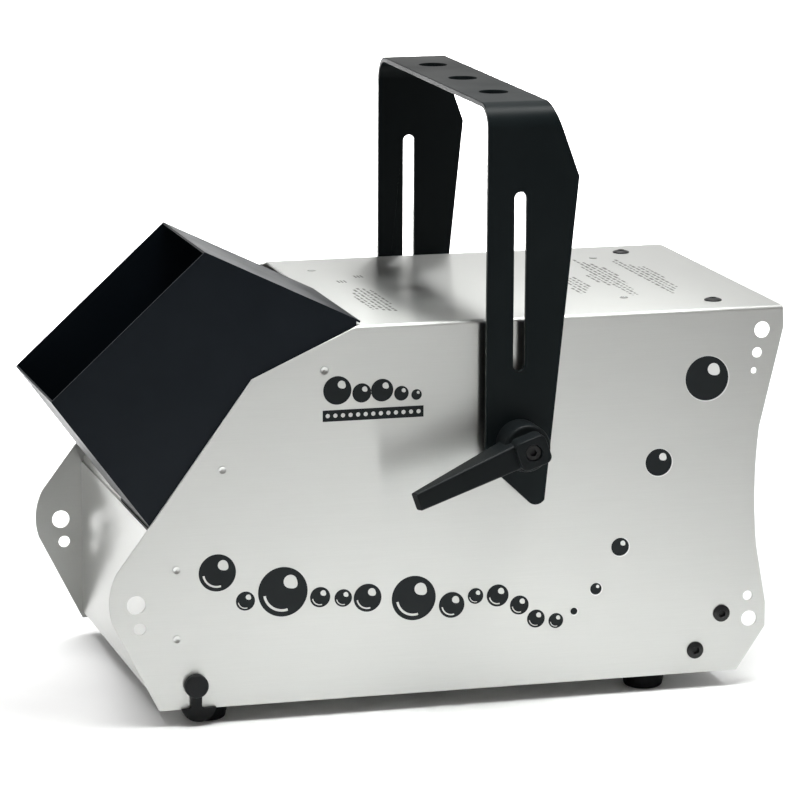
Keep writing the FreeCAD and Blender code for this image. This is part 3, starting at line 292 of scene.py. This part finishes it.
def make_materials():
    """One finish for each material slot of the record, and the inks."""
    return {
        "satin_silver": make_brushed("satin_steel", *BRUSHED_TONES, "Y", 0.29),
        "satin_across": make_brushed("satin_steel_across", *BRUSHED_TONES, "X", 0.36),
        "zinc_steel": make_cells("zinc_plate", (0.46, 0.47, 0.48), (0.60, 0.61, 0.62), 0.38, 140.0, 1.0),
        "black_hood": make_finish(
            "hood_lacquer", (0.0056, 0.0084, 0.0122), (0.0070, 0.0100, 0.0142), 0.36,
            scale=1400.0, bump=0.05, sockets={"Specular IOR Level": 0.13}),
        "black_powder": make_finish(
            "yoke_powder_coat", (0.0056, 0.0084, 0.0094), (0.0072, 0.0102, 0.0112), 0.36,
            scale=1100.0, bump=0.10, sockets={"Specular IOR Level": 0.09}),
        "lever_black": make_finish(
            "lever_nylon", (0.0052, 0.0068, 0.0075), (0.0070, 0.0088, 0.0096), 0.42,
            scale=1500.0, bump=0.22, sockets={"Specular IOR Level": 0.10}),
        "black_screw": make_finish(
            "black_oxide", (0.007, 0.007, 0.008), (0.012, 0.012, 0.012), 0.36, bump=0.08,
            sockets={"Specular IOR Level": 0.26}),
        "bare_steel": make_finish(
            "turned_steel", (0.45, 0.45, 0.46), (0.56, 0.56, 0.57), 0.30, bump=0.06, metallic=1.0),
        "rivet_metal": make_finish(
            "rivet_aluminium", (0.52, 0.525, 0.515), (0.58, 0.585, 0.575), 0.30, bump=0.05, metallic=1.0),
        "foot_rubber": make_finish(
            "foot_rubber", (0.0035, 0.0038, 0.0042), (0.0055, 0.0058, 0.0062), 0.50, bump=0.25,
            depth=0.0001, sockets={"Specular IOR Level": 0.03}),
        # The stopper's colour is darkened towards its bottom: painted shade on its lower part.
        "stopper_rubber": paint_shade_below(make_finish(
            "stopper_rubber", (0.011, 0.012, 0.013), (0.017, 0.018, 0.019), 0.46, bump=0.22,
            sockets={"Specular IOR Level": 0.12}), 0.006, 0.016, 0.22),
        "tank_plastic": make_finish(
            "tank_polyethylene", (0.70, 0.72, 0.69), (0.77, 0.78, 0.75), 0.38, bump=0.12, scale=500.0,
            sockets={"Subsurface Weight": 0.25, "Subsurface Scale": 0.003}),
        "wheel_plastic": make_finish(
            "wheel_plastic", (0.05, 0.20, 0.50), (0.07, 0.24, 0.56), 0.28, bump=0.08),
        "bearing_plastic": make_finish(
            "acetal", (0.020, 0.020, 0.022), (0.030, 0.030, 0.032), 0.42, bump=0.1),
        "bush_brass": make_finish(
            "sintered_bronze", (0.48, 0.33, 0.14), (0.58, 0.42, 0.20), 0.40, bump=0.2, metallic=1.0),
        "motor_metal": make_finish(
            "motor_case", (0.42, 0.42, 0.43), (0.52, 0.52, 0.53), 0.34, bump=0.06, metallic=1.0),
        "fan_plastic": make_finish(
            "fan_plastic", (0.012, 0.012, 0.013), (0.018, 0.018, 0.019), 0.44, bump=0.2),
        "guard_wire": make_finish(
            "plated_wire", (0.60, 0.60, 0.60), (0.68, 0.68, 0.68), 0.20, bump=0.03, metallic=1.0),
        "socket_plastic": make_finish(
            "socket_plastic", (0.012, 0.012, 0.013), (0.018, 0.018, 0.019), 0.34, bump=0.12),
        "rocker_plastic": make_finish(
            "rocker_plastic", (0.014, 0.014, 0.015), (0.020, 0.020, 0.021), 0.22, bump=0.05),
        "board_green": make_finish(
            "solder_mask", (0.010, 0.085, 0.035), (0.016, 0.130, 0.055), 0.28, bump=0.1, mottle=90.0),
        "component_black": make_finish(
            "component_plastic", (0.016, 0.016, 0.018), (0.030, 0.030, 0.032), 0.40, bump=0.15),
        "supply_metal": make_finish(
            "folded_aluminium", (0.50, 0.51, 0.51), (0.58, 0.59, 0.59), 0.36, bump=0.05, metallic=1.0),
        "ink": make_finish(
            "print_ink", (0.0105, 0.0130, 0.0145), (0.0140, 0.0165, 0.0180), 0.45, bump=0.05,
            sockets={"Specular IOR Level": 0.12}),
        "ink_halo": make_finish("print_white", (0.72, 0.73, 0.72), (0.78, 0.79, 0.78), 0.45, bump=0.05),
        "ink_grey": make_finish("print_grey", (0.13, 0.13, 0.12), (0.18, 0.18, 0.17), 0.50, bump=0.05),
    }


def dress_cad_nodes(materials):
    """Gives every CAD node the finish of its material slot."""
    across = {"chassis_pan", "front_cover", "rear_panel"}
    for part in frame["record"]["subparts"]:
        name = part["node"]
        slot = part["material_slot"]
        material = materials["satin_across" if name in across else slot]
        mesh = frame["nodes"][name].data
        mesh.materials.clear()
        mesh.materials.append(material)


def soften_edges(name, width):
    """Breaks a CAD node's sharp edges with a small radius."""
    piece = frame["nodes"][name]
    if "custom_normal" in piece.data.attributes:
        piece.data.attributes.remove(piece.data.attributes["custom_normal"])
    piece.data.shade_smooth()
    weld = piece.modifiers.new("weld", "WELD")
    weld.merge_threshold = 0.000002
    flatten = piece.modifiers.new("flatten", "DECIMATE")
    flatten.decimate_type = "DISSOLVE"
    flatten.angle_limit = math.radians(0.4)
    bevel = piece.modifiers.new("edge", "BEVEL")
    bevel.width = width
    bevel.segments = 2
    bevel.limit_method = "ANGLE"
    bevel.angle_limit = math.radians(35.0)
    bevel.use_clamp_overlap = False
    normals = piece.modifiers.new("normals", "WEIGHTED_NORMAL")
    normals.keep_sharp = False


# ---- printing -----------------------------------------------------------------------------------
def add_loop(curve, points):
    """One closed outline of straight runs."""
    spline = curve.splines.new("POLY")
    spline.points.add(len(points) - 1)
    for index, (u, v) in enumerate(points):
        spline.points[index].co = (u, v, 0.0, 1.0)
    spline.use_cyclic_u = True


def circle(u, v, radius, steps=48):
    """Points round a circle."""
    turn = 2 * math.pi / steps
    return [(u + radius * math.cos(turn * i), v + radius * math.sin(turn * i)) for i in range(steps)]


def glint(u, v, radius):
    """Outline of a bubble's highlight: a drop that points down and to the right."""
    points = []
    steps = 28
    for index in range(steps):
        angle = 2 * math.pi * index / steps
        reach = radius * (1.0 + 0.28 * max(0.0, math.cos(angle + 0.75)) ** 6)
        points.append((u + reach * math.cos(angle), v + reach * math.sin(angle)))
    return points


def arc_strip(u, v, inner, outer, first, last, steps=14):
    """Outline of a bent strip between two radii."""
    turns = [math.radians(first + (last - first) * i / steps) for i in range(steps + 1)]
    points = [(u + outer * math.cos(turn), v + outer * math.sin(turn)) for turn in turns]
    points += [(u + inner * math.cos(turn), v + inner * math.sin(turn)) for turn in reversed(turns)]
    return points


def print_on(name, outlines, origin, right, up, lift, material):
    """A thin closed layer of ink.  Outlines are in millimetres; an outline inside another is a hole."""
    curve = bpy.data.curves.new(name, "CURVE")
    curve.dimensions = "2D"
    curve.fill_mode = "BOTH"
    curve.extrude = 0.015 * MM
    for outline in outlines:
        add_loop(curve, [(u * MM, v * MM) for u, v in outline])
    flat = bpy.data.objects.new(name + "_curve", curve)
    bpy.context.scene.collection.objects.link(flat)
    bpy.context.view_layer.update()
    mesh = bpy.data.meshes.new_from_object(flat.evaluated_get(bpy.context.evaluated_depsgraph_get()))
    bpy.data.objects.remove(flat)
    piece = bpy.data.objects.new(name, mesh)
    bpy.context.scene.collection.objects.link(piece)
    out = Vector(right).cross(Vector(up))
    turn = Matrix((right, up, out)).transposed().to_4x4()
    place = Matrix.Translation(Vector(origin) + out * lift * MM) @ turn
    mesh.transform(place)
    mesh.materials.clear()
    mesh.materials.append(material)
    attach(piece, "casing")


# Printed bubbles: distance from the panel's front corner, height, and radius.
TRAIL = (
    (327.1, 175.9, 13.2), (298.3, 127.4, 8.1), (275.4, 78.2, 5.4), (260.9, 53.9, 3.5), (247.6, 41.3, 2.1),
)
BAND = (
    (34.2, 78.0, 10.9), (50.6, 60.4, 5.6), (72.6, 64.4, 14.6), (94.6, 59.8, 6.0), (108.3, 58.4, 5.2),
    (122.8, 57.6, 8.3), (150.4, 55.6, 13.2), (173.2, 50.0, 7.7), (187.6, 54.4, 4.7), (201.0, 53.8, 6.6),
    (214.2, 47.2, 5.7), (224.4, 38.4, 5.4), (236.6, 36.4, 4.5),
)
BADGE_BUBBLES = (
    (104.6, 180.2, 8.3), (119.0, 178.0, 5.6), (131.0, 179.0, 6.6), (142.4, 176.6, 4.3), (151.4, 175.4, 3.1),
)
BADGE_BAR = (96.0, 162.3, 155.6, 168.9)
BADGE_DOTS = 13
BADGE_DOT_PITCH = 4.47


def bubble_outlines(u, v, radius, rim=False):
    """A dark bubble with its highlight left open, and a bright rim below if it is wanted."""
    outlines = [circle(u, v, radius)]
    if radius > 3:
        outlines.append(glint(u + radius * 0.30, v + radius * 0.40, radius * 0.27))
    if rim:
        outlines.append(arc_strip(u, v, radius * 0.70, radius * 0.80, 190, 285))
    return outlines


def make_side_print(materials):
    """The trail of bubbles, a band of bubbles and a plain badge on the hood's side."""
    origin = on_side_panel(0.0, 0.0)
    right, up = (0, 1, 0), (0, 0, 1)
    trail, halo = [], []
    for u, v, radius in TRAIL:
        trail += bubble_outlines(u, v, radius)
        halo.append(circle(u + 0.25, v - 0.25, radius + 0.45))
    print_on("print_bubble_halo", halo, origin, right, up, 0.03, materials["ink_halo"])
    print_on("print_bubble_trail", trail, origin, right, up, 0.075, materials["ink"])
    band = []
    for u, v, radius in BAND:
        band += bubble_outlines(u, v, radius, rim=radius > 4)
    print_on("print_bubble_band", band, origin, right, up, 0.04, materials["ink"])
    badge = []
    for u, v, radius in BADGE_BUBBLES:
        badge += bubble_outlines(u, v, radius)
    low_u, low_v, high_u, high_v = BADGE_BAR
    badge.append([(low_u, low_v), (high_u, low_v), (high_u, high_v), (low_u, high_v)])
    for index in range(BADGE_DOTS):
        badge.append(circle(low_u + 3.0 + index * BADGE_DOT_PITCH, (low_v + high_v) / 2, 1.25, 20))
    print_on("print_badge", badge, origin, right, up, 0.04, materials["ink"])


# Lines of small print on the top: distance from the front, then where the line starts and ends in X.
TOP_LINES = (
    (336.0, -33.0, 9.0), (333.0, -33.0, 39.0), (330.0, -41.0, 44.0), (327.0, -60.0, 49.0),
    (324.0, -55.0, 57.0),
    (311.0, -36.0, -6.0), (308.0, -50.0, 19.0), (305.0, -56.0, 39.0), (302.0, -66.0, 56.0),
    (299.0, -41.0, 57.0),
    (296.0, -16.0, 24.0), (293.0, -13.0, 12.0),
    (283.0, -9.0, 25.0), (280.0, -6.0, 29.0), (277.0, -1.0, 37.0), (274.0, 9.0, 43.0), (271.0, 26.0, 44.0),
    (153.0, 3.0, 49.0), (150.0, -3.0, 71.0), (147.0, -5.0, 69.0), (144.0, -1.0, 67.0), (141.0, 9.0, 65.0),
    (138.5, 21.0, 63.0),
)
TOP_MARKS = ((143.9, -28.5), (158.0, -42.5))


def make_top_print(materials):
    """Unreadable small print on the top: rows of dashes, and two little marks."""
    rng = random.Random(7)
    dashes = []
    for y, start, end in TOP_LINES:
        x = start
        while x < end:
            length = min(rng.uniform(2.0, 8.0), end - x)
            tall = rng.uniform(0.55, 0.85)
            dashes.append([(x, y - tall), (x + length, y - tall), (x + length, y + tall), (x, y + tall)])
            x += length + rng.uniform(1.5, 3.0)
    for y, x in TOP_MARKS:
        for shift in (-2.0, 0.0, 2.0):
            dashes.append([
                (x - 3.6, y + shift - 0.55), (x + 3.6, y + shift - 0.55),
                (x + 3.6, y + shift + 0.55), (x - 3.6, y + shift + 0.55),
            ])
    origin = Vector((0.0, FRONT_WALL_Y, SHELL_HIGH.z))
    print_on("print_top_lines", dashes, origin, (1, 0, 0), (0, 1, 0), 0.04, materials["ink_grey"])


# ---- build --------------------------------------------------------------------------------------
EDGE_WIDTHS = {
    "casing_shell": 0.25, "yoke": 0.45, "outlet_hood": 0.22, "front_cover": 0.2,
    "chassis_pan": 0.2, "rear_panel": 0.25, "lever_right": 0.35, "lever_left": 0.35,
}

make_camera()
make_world()
make_floor()
make_area_light(
    "front_floor_lamp", (0.30, 0.09, 0.76), (0.30, 0.09, 0.0), 0.54, 1.94, (0.98, 1.0, 0.98), 54.0)
make_area_light("overhead_softbox", (0.05, 0.50, 1.20), (0.0, 0.05, 0.25), 0.4, 1.6)
make_area_light("left_floor_lamp", (-0.05, -0.66, 1.25), (-0.05, -0.66, 0.0), 0.5, 2.2, spread=62.0)
make_area_light("rear_floor_lamp", (-0.80, 0.0, 1.3), (-0.80, 0.0, 0.0), 0.5, 4.0, spread=60.0)
make_area_light("backdrop_lamp", (-3.1, 0.85, 2.4), (-3.1, 0.85, 0.0), 3.6, 240.0, spread=84.0)
finishes = make_materials()
dress_cad_nodes(finishes)
for node, edge_width in EDGE_WIDTHS.items():
    soften_edges(node, edge_width * MM)
make_side_print(finishes)
make_top_print(finishes)
bpy.context.scene.view_settings.view_transform = "Standard"
